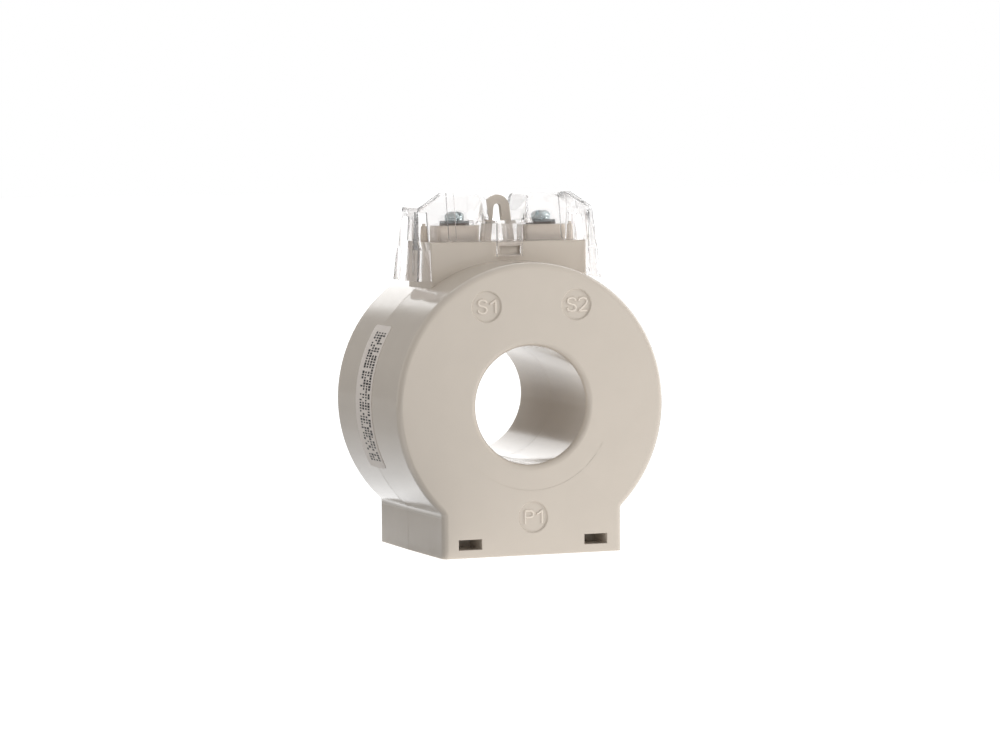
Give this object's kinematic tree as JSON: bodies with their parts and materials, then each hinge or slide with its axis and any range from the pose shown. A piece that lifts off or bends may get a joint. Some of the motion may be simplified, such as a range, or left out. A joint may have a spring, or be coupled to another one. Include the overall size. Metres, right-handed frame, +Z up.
{
  "type": "current transformer",
  "caption": "Ring-type current transformer: two-shell moulded housing with a round cable window, flat foot, screw terminals on top and a clear sealable cover.",
  "frame": {"origin": "under the middle of the foot, on the surface it stands on", "axes": "+Z up, +X to the right seen from the front, +Y to the rear along the window's axis"},
  "size_m": [0.1017, 0.066, 0.1278],
  "materials": {
    "housing": "satin",
    "label": "satin paper",
    "clear_cover": "clear moulding",
    "zinc_steel": "zinc plated",
    "brass_strip": "tarnished",
    "enamelled_copper": "enamelled copper",
    "sleeve_rubber": "matte",
    "core_steel": "silicon steel strip",
    "cup_nylon": "matte",
    "polyester_tape": "tape",
    "foam_rubber": "foam"
  },
  "bodies": {
    "housing": {"front_shell": "housing", "rear_shell": "housing", "side_label": "label", "terminal_strip_s1": "brass_strip", "terminal_strip_s2": "brass_strip", "core": "core_steel", "core_cup_front": "cup_nylon", "core_cup_rear": "cup_nylon", "secondary_winding": "enamelled_copper", "winding_tape": "polyester_tape", "lead_s1": "enamelled_copper", "lead_s2": "enamelled_copper", "sleeve_s1": "sleeve_rubber", "sleeve_s2": "sleeve_rubber", "seat_ring_front": "foam_rubber", "seat_ring_rear": "foam_rubber", "terminal_nut_s1": "zinc_steel", "terminal_nut_s2": "zinc_steel"},
    "cover": {"terminal_cover": "clear_cover"},
    "clamp_s1": {"clamp_plate_s1": "zinc_steel", "spring_washer_s1": "zinc_steel"},
    "clamp_s2": {"clamp_plate_s2": "zinc_steel", "spring_washer_s2": "zinc_steel"},
    "screw_s1": {"terminal_screw_s1": "zinc_steel"},
    "screw_s2": {"terminal_screw_s2": "zinc_steel"}
  },
  "joints": [
    {"name": "cover_lift", "type": "slide", "parent": "housing", "child": "cover", "axis": [0, 0, 1], "range_m": [0, 0.036]},
    {"name": "clamp_lift_s1", "type": "slide", "parent": "housing", "child": "clamp_s1", "axis": [0, 0, 1], "range_m": [0, 0.0035]},
    {"name": "screw_turn_s1", "type": "hinge", "parent": "clamp_s1", "child": "screw_s1", "pos_m": [-0.0166, 0, 0.119], "axis": [0, 0, 1], "range_deg": [0, 1836]},
    {"name": "clamp_lift_s2", "type": "slide", "parent": "housing", "child": "clamp_s2", "axis": [0, 0, 1], "range_m": [0, 0.0035]},
    {"name": "screw_turn_s2", "type": "hinge", "parent": "clamp_s2", "child": "screw_s2", "pos_m": [0.0166, 0, 0.119], "axis": [0, 0, 1], "range_deg": [0, 1836]}
  ],
  "couplings": [
    {"joint": "screw_turn_s1", "follows": "clamp_lift_s1", "rad_per_m": 8976},
    {"joint": "screw_turn_s2", "follows": "clamp_lift_s2", "rad_per_m": 8976}
  ]
}
